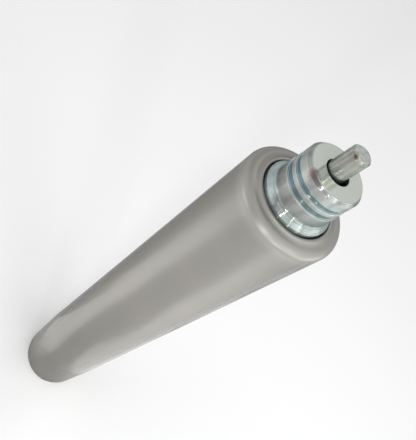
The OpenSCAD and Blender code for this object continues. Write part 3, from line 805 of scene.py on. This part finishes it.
floor_mesh = bpy.data.meshes.new("floor")
floor_mesh.from_pydata(
    [(x * FLOOR_HALF, y * FLOOR_HALF, 0.0) for x, y in ((-1, -1), (1, -1), (1, 1), (-1, 1))],
    [], [(0, 1, 2, 3)],
)
floor_mesh.materials.append(floor_paper())
floor = bpy.data.objects.new("floor", floor_mesh)
bpy.context.scene.collection.objects.link(floor)


# Lamps. Broad soft lamps and small hard ones, 2 m from the column's mouth; the small ones make the white
# glints on the head. Strips of light stand beside the lift and lie on the floor facing up, which draws the
# long bands on the column's wall. An azimuth is in degrees from +X towards +Y.
LAMP_REACH = 2.0
STRIP_REACH = 0.55
STRIP_MIDDLE = 0.27
STRIP_TALL = 0.3
STRIP_AIM = 0.22
STRIP_SPREAD = math.radians(110)
FLOOR_STRIP_DEEP = 0.09
FLOOR_STRIP_LIFT = 0.002


def lamp(name, place, width, height, power, looks_at=COLUMN_LEN * MM):
    """A lamp, unseen by the camera, that faces the axis at this height."""
    data = bpy.data.lights.new(name, "AREA")
    data.shape = "RECTANGLE"
    data.size = width
    data.size_y = height
    data.energy = power
    lit = bpy.data.objects.new(name, data)
    bpy.context.scene.collection.objects.link(lit)
    lit.location = place
    lit.rotation_euler = (place - Vector((0.0, 0.0, looks_at))).to_track_quat("Z", "Y").to_euler()
    lit.visible_camera = False
    return lit


def direction(azimuth, elevation):
    """The unit vector that points this way."""
    level = math.cos(math.radians(elevation))
    return Vector((
        level * math.cos(math.radians(azimuth)),
        level * math.sin(math.radians(azimuth)),
        math.sin(math.radians(elevation)),
    ))


mouth = Vector((0.0, 0.0, COLUMN_LEN * MM))
for name, azimuth, elevation, side, power in (
    ("key", -16, 45, 0.7, 1.9),
    ("side", -20, 31, 0.8, 2.2),
    ("back", 90, 60, 0.5, 3.0),
    ("flash", -74, 47, 0.1, 2.4),
    ("fill", 28, 40, 1.5, 5.4),
    ("spark", -76, 31, 0.08, 2.6),
    ("low_spark", -79, 12, 0.1, 4.6),
    ("low_side", -48, 12, 0.12, 4.6),
    ("low_far", -20, 13, 0.3, 2.6),
):
    lamp(name, mouth + direction(azimuth, elevation) * LAMP_REACH, side, side, power)
for name, azimuth, width, power in (("strip_left", -137, 0.3, 0.16), ("strip_right", 16, 0.5, 0.31)):
    place = direction(azimuth, 0) * STRIP_REACH + Vector((0.0, 0.0, STRIP_MIDDLE))
    strip = lamp(name, place, width, STRIP_TALL, power, STRIP_AIM)
    strip.data.spread = STRIP_SPREAD
for reach, share in ((0.08, 0.88), (0.16, 0.82), (0.25, 0.7), (0.36, 0.5)):
    for name, azimuth, widening, glow in (("floor_left", -139, 0.8, 0.4), ("floor_right", 6, 1.8, 0.45)):
        place = direction(azimuth, 0) * reach + Vector((0.0, 0.0, FLOOR_STRIP_LIFT))
        width = reach * widening
        strip = lamp(name, place, FLOOR_STRIP_DEEP, width, share * glow * width)
        strip.rotation_euler = (math.pi, 0.0, math.radians(azimuth))


# Room. A grey ceiling with brighter and darker parts, set one over the other by the way that they lie in.
# The metal mirrors the high ones, and the low ones only light it: low down, what is seen is a pale wall.
world = bpy.data.worlds.new("studio")
bpy.context.scene.world = world
world.use_nodes = True
world.node_tree.nodes.clear()
gaze = Tone(world.node_tree).node("ShaderNodeTexCoord", {}, {}, "Generated")


def facing(azimuth, elevation):
    """How near the way looked in is to this one: 1 straight at it, 0 at right angles to it."""
    return gaze.vector("DOT_PRODUCT", direction(azimuth, elevation), output=1)


room = facing(0, 90).rise(0.2, 0.8).between(grey(0.41), grey(0.52))
for azimuth, elevation, start, full, level in (
    (0, 90, 0.8, 0.97, 0.9),
    (-90, 10, 0.77, 0.97, 0.25),
    (155, 5, 0.6, 0.9, 0.2),
    (-42, 56, 0.79, 1.0, 1.15),
    (90, 48, 0.9, 0.98, 0.68),
    (-165, 30, 0.77, 0.98, 1.05),
    (-30, -5, 0.9, 1.0, 4.0),
):
    room = facing(azimuth, elevation).rise(start, full).between(room, grey(level))
low_down = 1 - facing(0, 90).rise(0.3, 0.6)
walled = (gaze.seen() * low_down).between(room, grey(0.8))
light = gaze.node("ShaderNodeBackground", {}, {"Color": walled, "Strength": 1.0})
gaze.node("ShaderNodeOutputWorld", {}, {"Surface": light})


# Camera. It stands where the photograph was taken from, close above the head and looking down the column,
# with the frame turned so that the lift lies aslant.
CAMERA_PLACE = Vector((0.0, -152.449, 417.493))
CAMERA_RIGHT = Vector((0.53912, 0.6460, 0.5404))
CAMERA_UP = Vector((-0.83992, 0.3649, 0.40172))
CAMERA_LENS = 39.98
camera_data = bpy.data.cameras.new("camera")
camera_data.sensor_width = 36.0
camera_data.lens = CAMERA_LENS
camera_data.clip_start = 0.01
camera = bpy.data.objects.new("camera", camera_data)
bpy.context.scene.collection.objects.link(camera)
turn = Matrix((CAMERA_RIGHT, CAMERA_UP, CAMERA_RIGHT.cross(CAMERA_UP))).transposed()
camera.matrix_world = Matrix.Translation(CAMERA_PLACE * MM) @ turn.to_4x4()
bpy.context.scene.camera = camera
bpy.context.scene.view_settings.view_transform = "Standard"
